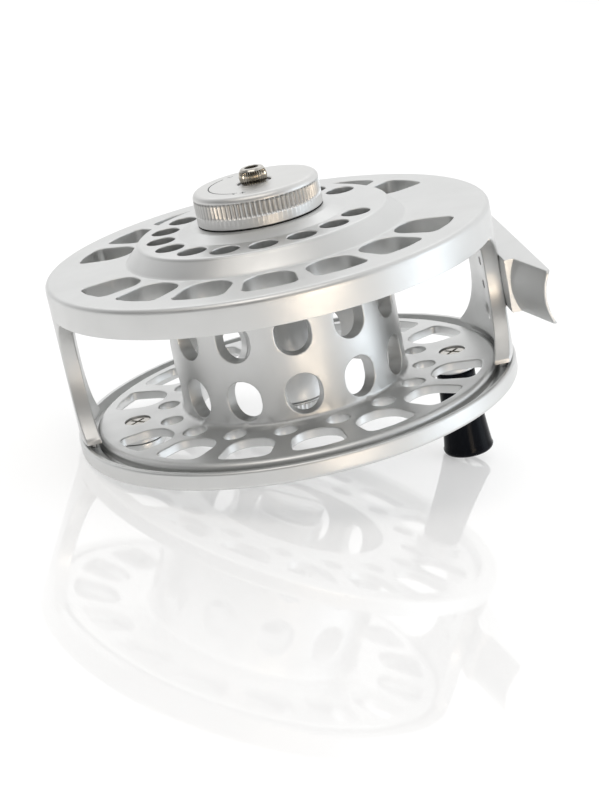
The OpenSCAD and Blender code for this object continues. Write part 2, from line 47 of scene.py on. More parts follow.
SEGMENTS = 240
FLUTE_STEPS = 8

# ---------------------------------------------------------------- sizes, in millimetres
FRAME_R = 47.2
RIM_IN = 44.7
PILLAR_IN = 43.9
PLATE_TOP = 20.0
PLATE_LOW = 16.6
RIM_LOW = 13.9
BOSS_TOP = 23.6
BOSS_ROOF = 21.1
BOSS_R = 26.9
BOSS_BASE_R = 29.6
COLLAR_R = 14.8
COLLAR_BASE_R = 18.0
COLLAR_TOP = 24.9
HOLE_PITCH = 360 / 17
BOSS_HOLE_R = 3.0
BOSS_HOLE_PCR = 21.6
SEAL_GROOVE_OUT = 13.25
SEAL_GROOVE_IN = 12.45
SEAL_GROOVE_T = 0.45
KNOB_STEM_BORE = 3.0
SCREW_BOSS_R = 2.6
SCREW_BOSS_PCR = 18.2
PLATE_PORT_OUT = 41.8
SPOOL_PORT_OUT = 41.0
PORT_IN = 30.4
PORT_HALF_IN = 4.75
PORT_HALF_OUT = 5.6
PORT_FIRST = 33.1
PORT_STEP = 20.6
ROUND_HOLE_R = 2.4
ROUND_HOLE_PCR = 28.0
PAD_R = 5.0
SEAT_R = 2.8
THREAD_HOLE_R = 1.55
SKIRT_IN = 16.5
SKIRT_OUT = 18.2
SKIRT_LOW = 14.5
PILLAR_LOW = -13.2
PILLAR_WAIST_Z = 2.4
FOOT_PILLAR_WAIST = 8.8
FOOT_PILLAR_FLARE = 17.5
BACK_PILLAR_WAIST = 5.0
BACK_PILLAR_FLARE = 11.0
CHANNEL = 13.55
ARBOR_R = 24.4
ARBOR_IN = 21.4
FLANGE_T = 1.95
FLANGE_R = 43.6
RING_R = 47.6
RING_IN = 46.4
RING_STEP_R = 43.0
RING_LOW = -17.5
GROOVE_Z = -16.0
FILLET_OUT = 2.4
FILLET_UP = 1.0
WEB_TOP = 8.4
WEB_LOW = 6.6
WEB_TOP_R = 17.6
WEB_LOW_R = 18.3
WEB_HOLE_R = 2.9
WEB_HOLE_PCR = 14.3
HUB_R = 7.8
HUB_UPPER_R = 8.2
HUB_BORE = 5.6
HUB_LOW = -15.1
HUB_HIGH = 12.3
BEARING_SEAT_R = 6.51
FRONT_SEAT_Z = -9.9
REAR_SEAT_Z = 3.4
HANDLE_X = 34.7
HANDLE_TIP = -37.0
HANDLE_R = 5.5
KNOB_R = 13.3
KNOB_LOW = 25.1
KNOB_EDGE = 1.3
KNOB_RIBS = 80
KNOB_BORE = 2.66
KNOB_HUB_R = 5.0
KNOB_HOLLOW_R = 10.5
KNOB_HOLLOW_T = 3.3
DETENTS = 24
DETENT_PCR = 11.6
MARK_R = 9.7
MARK_LINE = 0.24
MARK_FROM = 128
MARK_TO = 232
SIGN_HALF = 0.6
DETENT_HOLLOW = 0.82
KNOB_TOP = 31.9
FOOT_Z = 2.0
FOOT_SCREW_GAP = 2.6
FOOT_THREAD_R = 0.95
FOOT_HEAD_R = 1.95
DIMPLE_Z = -6.5
DIMPLE_R = 2.0
FOOT_HALF = 29.0
FOOT_W = 11.4
SADDLE_X = 51.1
SADDLE_R = 11.6
FOOT_END_T = 0.6
FOOT_BLOCK = 15.0
FOOT_BASE_X = 46.3
FOOT_SLOPE = math.tan(math.radians(14.5))


# ---------------------------------------------------------------- outlines
def circle(radius, count=SEGMENTS, x=0.0, y=0.0):
    """Points of a circle, counter-clockwise."""
    steps = [2 * math.pi * i / count for i in range(count)]
    return [(x + radius * math.cos(a), y + radius * math.sin(a)) for a in steps]


def turned(points, degrees):
    c = math.cos(math.radians(degrees))
    s = math.sin(math.radians(degrees))
    return [(c * x - s * y, s * x + c * y) for x, y in points]


def rounded(points, radii, steps=7):
    """A closed outline with each corner replaced by an arc of its own radius."""
    made = []
    count = len(points)
    for i in range(count):
        corner = Vector(points[i])
        before = (Vector(points[i - 1]) - corner).normalized()
        after = (Vector(points[(i + 1) % count]) - corner).normalized()
        half = math.acos(max(-1.0, min(1.0, before.dot(after)))) / 2
        centre = corner + (before + after).normalized() * radii[i] / math.sin(half)
        start = corner + before * radii[i] / math.tan(half) - centre
        end = corner + after * radii[i] / math.tan(half) - centre
        first = math.atan2(start.y, start.x)
        sweep = (math.atan2(end.y, end.x) - first + math.pi) % (2 * math.pi) - math.pi
        for k in range(steps + 1):
            a = first + sweep * k / steps
            made.append((centre.x + radii[i] * math.cos(a), centre.y + radii[i] * math.sin(a)))
    return made


def densified(points, longest):
    """The same closed outline, with no side longer than the given length."""
    made = []
    for i, a in enumerate(points):
        b = points[(i + 1) % len(points)]
        parts = max(1, math.ceil(math.dist(a, b) / longest))
        made += [(a[0] + (b[0] - a[0]) * k / parts, a[1] + (b[1] - a[1]) * k / parts) for k in range(parts)]
    return made


def grown(points, distance):
    """A counter-clockwise outline moved outwards by a distance."""
    made = []
    count = len(points)
    for i in range(count):
        a = Vector(points[i - 1])
        b = Vector(points[i])
        c = Vector(points[(i + 1) % count])
        n = (b - a).normalized() + (c - b).normalized()
        n = Vector((n.y, -n.x)).normalized()
        side = Vector(((c - b).y, -(c - b).x)).normalized()
        move = b + n * distance / max(0.5, n.dot(side))
        made.append((move.x, move.y))
    return made


def port(outer):
    """A petal-shaped port along +X, round inside and wider outside."""
    shoulder = outer - 0.8
    points = [(PORT_IN, -PORT_HALF_IN), (shoulder, -PORT_HALF_OUT), (outer, 0.0)]
    points += [(shoulder, PORT_HALF_OUT), (PORT_IN, PORT_HALF_IN)]
    return densified(rounded(points, [4.6, 1.9, 12.0, 1.9, 4.6]), 1.2)


# ---------------------------------------------------------------- mesh building
def flat(u, v, w):
    """Places a drawing in the plane across the spool axis."""
    return (u, v, w)


def around(u, v, w):
    """Places an unrolled drawing round the spool axis: u is the angle in degrees, v the height."""
    return (w * math.cos(math.radians(u)), w * math.sin(math.radians(u)), v)


def height(w, u, v):
    return w(u, v) if callable(w) else w


def vertex(bm, place, u, v, w):
    return bm.verts.new([c * MM for c in place(u, v, height(w, u, v))])


def fill(bm, place, outer, holes, w, extra=(), squeeze=1.0):
    """Fills an outline with convex holes by triangles, through extra points inside it."""
    loops = [outer] + list(holes)
    points = []
    owner = []
    edges = []
    for k, loop in enumerate(loops):
        first = len(points)
        points += loop
        owner += [k] * len(loop)
        edges += [(first + i, first + (i + 1) % len(loop)) for i in range(len(loop))]
    points += list(extra)
    owner += [-1] * len(extra)
    plane = [Vector((x * squeeze, y)) for x, y in points]
    _, _, faces, sources, _, _ = delaunay_2d_cdt(plane, edges, [], 1, 1e-7)
    made = {}
    for face in faces:
        ids = [sources[i][0] for i in face]
        owners = {owner[i] for i in ids}
        if len(owners) == 1 and owners.pop() > 0:
            continue
        for i in ids:
            if i not in made:
                made[i] = vertex(bm, place, points[i][0], points[i][1], w)
        bm.faces.new([made[i] for i in ids])


def stitch(bm, rings, closed=True):
    """Quads between rings of vertices."""
    for a, b in zip(rings, rings[1:]):
        count = len(a)
        for i in range(count if closed else count - 1):
            j = (i + 1) % count
            bm.faces.new((a[i], a[j], b[j], b[i]))


def wall(bm, place, loop, low, high, bevel, hole=True, ends=(True, True), steps=3):
    """The side of a hole or of an outline, with its edges rounded at the low and high ends."""
    sign = 1 if hole else -1
    rings = []
    for end, level, inwards in ((ends[1], high, -1), (ends[0], low, 1)):
        part = []
        for k in range(steps + 1) if end else [steps]:
            turn = math.pi / 2 * k / steps
            out = bevel * (1 - math.sin(turn)) if end else 0.0
            drop = inwards * bevel * (1 - math.cos(turn)) if end else 0.0
            points = grown(loop, sign * out) if out > 1e-9 else loop
            part.append([bm.verts.new([c * MM for c in place(u, v, height(level, u, v) + drop)])
                         for u, v in points])
        rings += part if inwards < 0 else part[::-1]
    stitch(bm, rings)


def slab(bm, place, outline, low, high, bevel, extra=(), low_cuts=(), high_cuts=()):
    """A plate of any outline with rounded edges, and openings in its low and high faces."""
    inner = grown(outline, -bevel)
    fill(bm, place, inner, low_cuts, low, clear_of(extra, low_cuts, 0.1))
    fill(bm, place, inner, high_cuts, high, clear_of(extra, high_cuts, 0.1))
    wall(bm, place, outline, low, high, bevel, hole=False)


def pocket(bm, place, loop, mouth, floor, bevel):
    """A flat-bottomed recess behind an opening that was cut a bevel wider."""
    wall(bm, place, loop, mouth, floor, bevel, ends=(True, False))
    fill(bm, place, loop, [], floor)


def dimple(bm, place, centre, radius, depth, mouth, count=36):
    """A shallow round hollow."""
    rings = []
    for k in range(9):
        r = radius * (1 - k / 8)
        w = mouth + depth * (1 - (r / radius) ** 2)
        ring = circle(max(r, 0.01), count, *centre)
        rings.append([bm.verts.new([c * MM for c in place(u, v, w)]) for u, v in ring])
    stitch(bm, rings)


def revolve(bm, profile, count=SEGMENTS, x=0.0, y=0.0):
    """Turns an open profile of (radius, height) points round a line parallel to the spool axis."""
    rings = [[bm.verts.new([c * MM for c in (x + p[0], y + p[1], z)]) for p in circle(max(r, 1e-4), count)]
             for r, z in profile]
    stitch(bm, rings)


def arc(x, z, radius, start, end, steps=5):
    """Points of an arc in a profile, from one angle to another in degrees."""
    angles = [math.radians(start + (end - start) * k / steps) for k in range(steps + 1)]
    return [(x + radius * math.cos(a), z + radius * math.sin(a)) for a in angles]


def mesh_object(name, bm, weld=2e-6, sharp=40):
    """Makes an object from a bmesh, with smooth faces and clean flat areas."""
    bmesh.ops.remove_doubles(bm, verts=bm.verts, dist=weld)
    bmesh.ops.dissolve_degenerate(bm, edges=bm.edges, dist=1e-7)
    bmesh.ops.recalc_face_normals(bm, faces=bm.faces)
    mesh = bpy.data.meshes.new(name)
    bm.to_mesh(mesh)
    bm.free()
    mesh.shade_smooth()
    mesh.set_sharp_from_angle(angle=math.radians(sharp))
    made = bpy.data.objects.new(name, mesh)
    bpy.context.scene.collection.objects.link(made)
    weighted = made.modifiers.new("clean_normals", "WEIGHTED_NORMAL")
    weighted.keep_sharp = True
    weighted.weight = 90
    return made


def finish_piece(made, body, slot, material, *nodes):
    """Rides on its body, stands for its CAD nodes and wears its material."""
    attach(made, body)
    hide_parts(*nodes)
    made.data.materials.append(material)
    return made


# ---------------------------------------------------------------- materials
def new_material(name, colour, metallic, roughness):
    """A material with its nodes, its shader and its object coordinates."""
    material = bpy.data.materials.new(name)
    material.use_nodes = True
    nodes = material.node_tree.nodes
    links = material.node_tree.links
    shader = nodes["Principled BSDF"]
    shader.inputs["Base Color"].default_value = (*colour, 1)
    shader.inputs["Metallic"].default_value = metallic
    shader.inputs["Roughness"].default_value = roughness
    place = nodes.new("ShaderNodeTexCoord").outputs["Object"]
    return material, nodes, links, shader, place


def noise(nodes, links, place, scale, detail=3.0):
    node = nodes.new("ShaderNodeTexNoise")
    node.inputs["Scale"].default_value = scale
    node.inputs["Detail"].default_value = detail
    links.new(place, node.inputs["Vector"])
    return node.outputs["Fac"]


def ranged(nodes, links, value, low, high, from_low=0.3, from_high=0.7):
    node = nodes.new("ShaderNodeMapRange")
    node.inputs["From Min"].default_value = from_low
    node.inputs["From Max"].default_value = from_high
    node.inputs["To Min"].default_value = low
    node.inputs["To Max"].default_value = high
    links.new(value, node.inputs["Value"])
    return node.outputs["Result"]


def mixed(nodes, links, factor, first, second):
    node = nodes.new("ShaderNodeMix")
    node.data_type = "RGBA"
    node.inputs["A"].default_value = (*first, 1)
    node.inputs["B"].default_value = (*second, 1)
    links.new(factor, node.inputs["Factor"])
    return node.outputs["Result"]


def bumped(nodes, links, shader, value, distance, strength=1.0):
    node = nodes.new("ShaderNodeBump")
    node.inputs["Distance"].default_value = distance
    node.inputs["Strength"].default_value = strength
    links.new(value, node.inputs["Height"])
    links.new(node.outputs["Normal"], shader.inputs["Normal"])


def blasted(name, light, dark, rough_low, rough_high, grain=9000.0, depth=6e-6):
    """Bead-blasted, clear anodised aluminium: a fine even grain with faint handling clouds."""
    material, nodes, links, shader, place = new_material(name, light, 1.0, rough_low)
    clouds = noise(nodes, links, place, 55.0, 4.0)
    cloudy = ranged(nodes, links, clouds, 0, 1)
    links.new(mixed(nodes, links, cloudy, light, dark), shader.inputs["Base Color"])
    fine = noise(nodes, links, place, grain, 2.0)
    soft = noise(nodes, links, place, 160.0, 5.0)
    links.new(ranged(nodes, links, soft, rough_low, rough_high), shader.inputs["Roughness"])
    bumped(nodes, links, shader, fine, depth)
    return material


def painted_flute_shade(name, light, groove, roughness, low, high):
    """Blasted metal with painted shade: darker in the bottom of its flutes, between two distances from the
    spool axis.
    """
    material, nodes, links, shader, place = new_material(name, light, 1.0, roughness)
    flat_place = nodes.new("ShaderNodeVectorMath")
    flat_place.operation = "MULTIPLY"
    flat_place.inputs[1].default_value = (1, 1, 0)
    links.new(place, flat_place.inputs[0])
    reach = nodes.new("ShaderNodeVectorMath")
    reach.operation = "LENGTH"
    links.new(flat_place.outputs["Vector"], reach.inputs[0])
    # painted shade: the groove colour darkens the flute bottoms, nearer the spool axis than the crests
    depth = ranged(nodes, links, reach.outputs["Value"], 0, 1, low * MM, high * MM)
    links.new(mixed(nodes, links, depth, groove, light), shader.inputs["Base Color"])
    clouds = noise(nodes, links, place, 160.0, 5.0)
    links.new(ranged(nodes, links, clouds, roughness, roughness + 0.08), shader.inputs["Roughness"])
    bumped(nodes, links, shader, noise(nodes, links, place, 12000.0, 2.0), 3e-6)
    return material


def turned_metal(name, light, dark, roughness, pitch=9000.0):
    """Metal with fine tool marks in circles round the spool axis."""
    material, nodes, links, shader, place = new_material(name, light, 1.0, roughness)
    rings = nodes.new("ShaderNodeTexWave")
    rings.wave_type = "RINGS"
    rings.rings_direction = "Z"
    rings.inputs["Scale"].default_value = pitch / 6
    rings.inputs["Distortion"].default_value = 0.6
    links.new(place, rings.inputs["Vector"])
    clouds = noise(nodes, links, place, 220.0, 5.0)
    cloudy = ranged(nodes, links, clouds, 0, 1)
    links.new(mixed(nodes, links, cloudy, light, dark), shader.inputs["Base Color"])
    links.new(ranged(nodes, links, clouds, roughness, roughness + 0.14), shader.inputs["Roughness"])
    bumped(nodes, links, shader, rings.outputs["Fac"], 2e-6, 0.5)
    return material


def moulded(name, light, dark, rough_low, rough_high):
    """Polished or moulded plastic and rubber, with a faint ripple and fine scratches of gloss."""
    material, nodes, links, shader, place = new_material(name, light, 0.0, rough_low)
    shader.inputs["Specular IOR Level"].default_value = 0.07
    clouds = noise(nodes, links, place, 140.0, 5.0)
    cloudy = ranged(nodes, links, clouds, 0, 1)
    links.new(mixed(nodes, links, cloudy, light, dark), shader.inputs["Base Color"])
    links.new(ranged(nodes, links, clouds, rough_low, rough_high), shader.inputs["Roughness"])
    fine = noise(nodes, links, place, 1800.0, 3.0)
    bumped(nodes, links, shader, fine, 5e-6, 0.5)
    return material


def woven(name, light, dark):
    """Woven carbon friction material."""
    material, nodes, links, shader, place = new_material(name, dark, 0.0, 0.5)
    weave = nodes.new("ShaderNodeTexChecker")
    weave.inputs["Scale"].default_value = 900.0
    weave.inputs["Color1"].default_value = (*light, 1)
    weave.inputs["Color2"].default_value = (*dark, 1)
    links.new(place, weave.inputs["Vector"])
    links.new(weave.outputs["Color"], shader.inputs["Base Color"])
    bumped(nodes, links, shader, weave.outputs["Fac"], 2e-5)
    return material


SILVER = blasted("silver_blasted", (0.71, 0.715, 0.71), (0.68, 0.685, 0.68), 0.36, 0.46)
SILVER_FINE = blasted("silver_fine", (0.72, 0.72, 0.71), (0.69, 0.69, 0.68), 0.38, 0.46, 12000.0, 3e-6)
# painted shade: the drag knob's flutes are dark grey in their bottoms
FLUTED_SILVER_SHADED = painted_flute_shade("fluted_silver_painted_shade", (0.80, 0.80, 0.79), (0.43, 0.43, 0.43), 0.36, 12.75, 13.2)
# painted shade: the knob screw's knurl is near black in its bottoms
FLUTED_NICKEL_SHADED = painted_flute_shade("fluted_nickel_painted_shade", (0.66, 0.62, 0.55), (0.10, 0.085, 0.06), 0.12, 2.5, 2.85)
STEEL = turned_metal("turned_steel", (0.60, 0.60, 0.60), (0.50, 0.50, 0.50), 0.22)
NICKEL = turned_metal("nickel_plate", (0.62, 0.60, 0.56), (0.50, 0.48, 0.44), 0.13, 14000.0)
BEARING = turned_metal("bearing_steel", (0.66, 0.66, 0.68), (0.58, 0.58, 0.60), 0.12, 14000.0)
SPRING = turned_metal("spring_steel", (0.42, 0.42, 0.43), (0.34, 0.34, 0.35), 0.3)
BRASS = turned_metal("turned_brass", (0.74, 0.53, 0.24), (0.62, 0.43, 0.19), 0.24)
CARBON = woven("woven_carbon", (0.05, 0.05, 0.055), (0.015, 0.015, 0.017))
RUBBER = moulded("black_rubber", (0.02, 0.02, 0.02), (0.03, 0.03, 0.03), 0.55, 0.7)
ACETAL = moulded("black_acetal", (0.002, 0.003, 0.005), (0.004, 0.005, 0.008), 0.18, 0.24)
INK = moulded("engraving_dark", (0.05, 0.055, 0.06), (0.08, 0.085, 0.09), 0.5, 0.65)
BY_SLOT = {
    "anodised_silver": SILVER,
    "turned_steel": STEEL,
    "nickel": NICKEL,
    "bearing_steel": BEARING,
    "spring_steel": SPRING,
    "friction_carbon": CARBON,
    "brass": BRASS,
    "rubber": RUBBER,
    "black_acetal": ACETAL,
}

ROUNDED_NODES = {
    "spool_cap": 0.12,
    "counterweight": 0.2,
    "counterweight_screw": 0.07,
    "handle_screw": 0.07,
    "handle_washer": 0.05,
    "handle_spindle": 0.1,
    "foot_screws": 0.06,
    "drag_cover": 0.15,
    "drag_cover_screws": 0.07,
    "click_gear": 0.08,
    "drive_hub": 0.12,
    "main_spindle": 0.08,
    "drag_nut": 0.12,
    "knob_washer": 0.05,
}


def dress_cad_nodes():
    """Every CAD node that stays gets its slot's material, and those in ROUNDED_NODES also get small rounded
    edges.
    """
    for part in frame["record"]["subparts"]:
        node = frame["nodes"][part["node"]]
        node.data.materials.clear()
        node.data.materials.append(BY_SLOT[part["material_slot"]])
        if part["node"] in ROUNDED_NODES:
            weld = node.modifiers.new("weld", "WELD")
            weld.merge_threshold = 1e-6
            bevel = node.modifiers.new("rounded_edges", "BEVEL")
            bevel.width = ROUNDED_NODES[part["node"]] * MM
            bevel.segments = 3
            bevel.limit_method = "ANGLE"
            bevel.angle_limit = math.radians(38)
            bevel.harden_normals = True


# ---------------------------------------------------------------- frame
def pillar_outline(waist, flare):
    """Half width against height: a waist that sweeps out towards the rim and towards the spool."""
    low = PILLAR_LOW + 0.9
    high = RIM_LOW - 0.6
    side = [(flare, PILLAR_LOW)]
    for k in range(24, -1, -1):
        u = k / 24
        side.append((waist + (flare - waist) * u ** 2.2, PILLAR_WAIST_Z + (low - PILLAR_WAIST_Z) * u))
    for k in range(1, 19):
        u = k / 18
        side.append((waist + (flare - waist) * u ** 2.6, PILLAR_WAIST_Z + (high - PILLAR_WAIST_Z) * u))
    side.append((flare, RIM_LOW + 0.5))
    return side + [(-y, z) for y, z in reversed(side)]


def pillar(bm, waist, flare, side):
    """A curved pillar on the +X (side 1) or -X (side -1) side, with its tongue in the ring's groove."""
    def place(u, v, w):
        return (side * math.sqrt(w * w - u * u), side * u, v)

    outline = densified(pillar_outline(waist, flare), 1.0)
    half = waist - 0.8
    inside = PILLAR_IN
    grid = [(y, z) for z in range(-10, 14, 2) for y in (-half, -half / 2, 0, half / 2, half)]
    gaps = (FOOT_SCREW_GAP, -FOOT_SCREW_GAP) if side > 0 else ()
    screws = [circle(FOOT_THREAD_R, 36, 0, FOOT_Z + gap) for gap in gaps]
    cuts = [grown(c, 0.1) for c in screws] + ([circle(DIMPLE_R, 36, 0, DIMPLE_Z)] if side > 0 else [])
    slab(bm, place, outline, inside, FRAME_R, 0.35, grid, cuts)
    for loop in screws:
        pocket(bm, place, loop, inside, inside + 1.5, 0.1)
    if side > 0:
        dimple(bm, place, (0, DIMPLE_Z), DIMPLE_R, 0.9, inside)
    tongue = flare - 1.5
    bottom = PILLAR_LOW - 1.6
    top = PILLAR_LOW + 1
    box = [(-tongue, bottom), (tongue, bottom), (tongue, top), (-tongue, top)]
    shape = densified(rounded(box, [1.2, 1.2, 0.6, 0.6]), 1.0)
    slab(bm, place, shape, RIM_IN + 0.12, FRAME_R - 1.2, 0.3)


def make_frame():
    bm = bmesh.new()
    bevel = 0.3
    ports = []
    for k in range(7):
        ports += [turned(port(PLATE_PORT_OUT), side * (PORT_FIRST + PORT_STEP * k)) for side in (1, -1)]
    cut = [grown(p, bevel) for p in ports]
    fill(bm, flat, circle(FRAME_R - 1.2), [circle(BOSS_BASE_R + 0.4)] + cut, PLATE_TOP)
    fill(bm, flat, circle(RIM_IN - 1.2), [circle(BOSS_BASE_R - 2)] + cut, PLATE_LOW)
    for p in ports:
        wall(bm, flat, p, PLATE_LOW, PLATE_TOP, bevel)
    rim = arc(FRAME_R - 1.2, PLATE_TOP - 1.2, 1.2, 90, 0)
    rim += [(FRAME_R, 18), (FRAME_R, 16)] + arc(FRAME_R - 0.15, RIM_LOW + 0.15, 0.15, 0, -90, 2)
    rim += arc(RIM_IN + 0.4, RIM_LOW + 0.4, 0.4, -90, -180, 3)
    rim += arc(RIM_IN - 1.2, PLATE_LOW - 1.2, 1.2, 0, 90)
    revolve(bm, rim)
    holes = []
    for k in range(15):
        a = math.radians((k + 1.5) * HOLE_PITCH)
        holes.append(circle(BOSS_HOLE_R, 40, BOSS_HOLE_PCR * math.cos(a), BOSS_HOLE_PCR * math.sin(a)))
    cut = [grown(h, bevel) for h in holes]
    fill(bm, flat, circle(BOSS_R - 0.9), [circle(COLLAR_BASE_R)] + cut, BOSS_TOP)
    fill(bm, flat, circle(BOSS_R - 1.8), [circle(SKIRT_OUT)] + cut, BOSS_ROOF)
    for h in holes:
        wall(bm, flat, h, BOSS_ROOF, BOSS_TOP, bevel)
    cone = [(BOSS_BASE_R + 0.4, PLATE_TOP), (BOSS_BASE_R + 0.05, PLATE_TOP + 0.12)]
    cone += [(BOSS_BASE_R - 0.25, PLATE_TOP + 0.5)]
    cone += [(BOSS_R + 0.12, BOSS_TOP - 0.75)] + arc(BOSS_R - 0.9, BOSS_TOP - 0.9, 0.9, 18, 90)
    revolve(bm, cone)
    revolve(bm, [(BOSS_BASE_R - 2, PLATE_LOW), (BOSS_R - 1.8, BOSS_ROOF)])
    collar = [(COLLAR_BASE_R, BOSS_TOP), (COLLAR_BASE_R - 0.3, BOSS_TOP + 0.06)]
    collar += [(COLLAR_R + 0.4, COLLAR_TOP - 0.14)]
    groove_floor = COLLAR_TOP - SEAL_GROOVE_T
    collar += [(COLLAR_R, COLLAR_TOP), (SEAL_GROOVE_OUT, COLLAR_TOP)]
    collar += [(SEAL_GROOVE_OUT, groove_floor), (SEAL_GROOVE_IN, groove_floor)]
    collar += [(SEAL_GROOVE_IN, COLLAR_TOP), (KNOB_STEM_BORE, COLLAR_TOP)]
    collar += [(KNOB_STEM_BORE, BOSS_ROOF), (SKIRT_IN, BOSS_ROOF)]
    collar += [(SKIRT_IN, SKIRT_LOW), (SKIRT_OUT, SKIRT_LOW), (SKIRT_OUT, BOSS_ROOF)]
    revolve(bm, collar)
    for k in range(3):
        a = math.radians(180 - HOLE_PITCH / 2 - k * 6 * HOLE_PITCH)
        post = [(1e-3, SKIRT_LOW), (SCREW_BOSS_R, SKIRT_LOW), (SCREW_BOSS_R, BOSS_ROOF + 0.2)]
        revolve(bm, post, 32, SCREW_BOSS_PCR * math.cos(a), SCREW_BOSS_PCR * math.sin(a))
    pillar(bm, FOOT_PILLAR_WAIST, FOOT_PILLAR_FLARE, 1)
    pillar(bm, BACK_PILLAR_WAIST, BACK_PILLAR_FLARE, -1)
    return finish_piece(mesh_object("frame_fine", bm), "frame", "anodised_silver", SILVER, "frame")


# ---------------------------------------------------------------- spool
def fillet_rise(u, v):
    """How far the flange's face rises into the arbor at this point."""
    depth = max(0.0, ARBOR_R + FILLET_OUT - math.hypot(u, v)) / FILLET_OUT
    return FILLET_UP * (1 - math.sqrt(max(0.0, 1 - depth ** 2)))


def front_face(u, v):
    return -CHANNEL + fillet_rise(u, v)


def rear_face(u, v):
    return CHANNEL - fillet_rise(u, v)


def clear_of(points, loops, gap):
    """The points that keep a distance from the corners of every loop and lie outside them."""
    kept = []
    boxes = []
    for loop in loops:
        xs = [p[0] for p in loop]
        ys = [p[1] for p in loop]
        boxes.append((min(xs), max(xs), min(ys), max(ys)))
    for x, y in points:
        near = any(b[0] - gap < x < b[1] + gap and b[2] - gap < y < b[3] + gap for b in boxes)
        if not near:
            kept.append((x, y))
    return kept


def fillet_rings(loops, radii):
    points = []
    for r in radii:
        points += circle(r, 180)
    return clear_of(points, loops, 0.0)


def make_spool():
    bm = bmesh.new()
    bevel = 0.3
    low = -CHANNEL - FLANGE_T
    petals = [turned(port(SPOOL_PORT_OUT), 22.5 * k) for k in range(16)]
    front = [p for k, p in enumerate(petals) if k % 8 != 0]
    rounds = []
    for k in range(16):
        a = math.radians(22.5 * (k + 0.5))
        rounds.append(circle(ROUND_HOLE_R, 32, ROUND_HOLE_PCR * math.cos(a), ROUND_HOLE_PCR * math.sin(a)))
    seats = [circle(SEAT_R, 40, s * HANDLE_X, 0) for s in (1, -1)]
    holes = front + rounds
    cut = [grown(h, bevel) for h in holes]
    seat_cut = [grown(h, 0.15) for h in seats]
    rings = fillet_rings(cut, (24.45, 24.55, 24.75, 25.0, 25.4, 25.9, 26.4, 26.8))
    fill(bm, flat, circle(FLANGE_R - 1.2), [circle(ARBOR_R)] + cut + seat_cut, front_face, rings)
    pads = [circle(PAD_R, 48, s * HANDLE_X, 0) for s in (1, -1)]
    fill(bm, flat, circle(RING_STEP_R), [circle(ARBOR_IN)] + cut + pads, low)
    for h in holes:
        wall(bm, flat, h, low, front_face, bevel)
    for s, seat in zip((1, -1), seats):
        floor = -CHANNEL - 1.2
        wall(bm, flat, seat, floor, -CHANNEL, 0.15, ends=(False, True))
        x = s * HANDLE_X
        pad = [(SEAT_R, floor), (THREAD_HOLE_R, floor), (THREAD_HOLE_R, RING_LOW)]
        pad += [(PAD_R - 0.2, RING_LOW), (PAD_R, RING_LOW + 0.2), (PAD_R, low)]
        revolve(bm, pad, 40, x)
    ring = [(RING_STEP_R, low), (43.3, RING_LOW + 0.5), (43.8, RING_LOW)]
    ring += arc(RING_R - 0.8, RING_LOW + 0.8, 0.8, -90, 0) + [(RING_R, -16)]
    ring += arc(RING_R - 0.6, RING_LOW + 3.1, 0.6, 0, 90)
    ring += arc(RING_IN + 0.25, RING_LOW + 3.45, 0.25, 90, 180, 2)
    ring += [(RING_IN, GROOVE_Z), (FLANGE_R + 0.3, GROOVE_Z), (FLANGE_R, GROOVE_Z + 0.3)]
    ring += arc(FLANGE_R - 1.2, -CHANNEL - 1.2, 1.2, 0, 90)
    revolve(bm, ring)
    make_arbor(bm)
    make_rear_flange(bm, [grown(p, bevel) for p in petals], petals, bevel)
    make_hub(bm)
    return finish_piece(mesh_object("spool_fine", bm), "spool_assembly", "anodised_silver", SILVER, "spool")


def make_arbor(bm):
    """The drum with two rows of holes, drawn unrolled in degrees and millimetres."""
    end = CHANNEL - FILLET_UP
    scale = math.degrees(1 / ARBOR_R)
    half = [(x * scale, z) for x, z in densified(rounded(
        [(-3.8, -4.25), (3.8, -4.25), (3.8, 4.25), (-3.8, 4.25)], [3.75] * 4, 10), 0.8)]
    holes = []
    for k in range(12):
        holes += [[(u + 30 * k + 15, v + z) for u, v in half] for z in (-7.85, 4.8)]
    step = 360 / SEGMENTS
    border = [(step * k, -end) for k in range(SEGMENTS + 1)]
    border += [(step * k, end) for k in range(SEGMENTS, -1, -1)]
    heights = (-9.4, -7.9, -6, -4.5, -1.6, 2, 3.5, 5.5, 7, 9.4)
    grid = [(step * k, z) for k in range(1, SEGMENTS) for z in heights]

    def placed(u, v, w):
        return around(u - 15, v, w)

    for w, bevel in ((ARBOR_R, 0.25), (ARBOR_IN, 0.25)):
        cut = [stretched(h, bevel, scale) for h in holes]
        fill(bm, placed, border, cut, w, clear_of(grid, cut, 0.1), 1 / scale)
    for h in holes:
        rings = []
        for w, out in wall_steps(ARBOR_IN, ARBOR_R, 0.25):
            loop = stretched(h, out, scale)
            rings.append([bm.verts.new([c * MM for c in placed(u, v, w)]) for u, v in loop])
        stitch(bm, rings)
    revolve(bm, [(ARBOR_IN, -end), (ARBOR_IN, -CHANNEL - FLANGE_T)])
    outside = CHANNEL + FLANGE_T
    revolve(bm, [(ARBOR_IN, end), (ARBOR_IN, outside - 0.5), (ARBOR_IN + 0.5, outside)])


def stretched(loop, distance, scale):
    """An unrolled outline grown by a distance in millimetres."""
    if distance < 1e-9:
        return loop
    return [(u * scale, v) for u, v in grown([(u / scale, v) for u, v in loop], distance)]


def wall_steps(low, high, bevel, steps=3):
    """(level, outward growth) pairs for a hole's wall with both edges rounded."""
    pairs = []
    for k in range(steps + 1):
        turn = math.pi / 2 * k / steps
        pairs.append((high - bevel * (1 - math.cos(turn)), bevel * (1 - math.sin(turn))))
    return pairs + [(low + high - w, out) for w, out in reversed(pairs)]


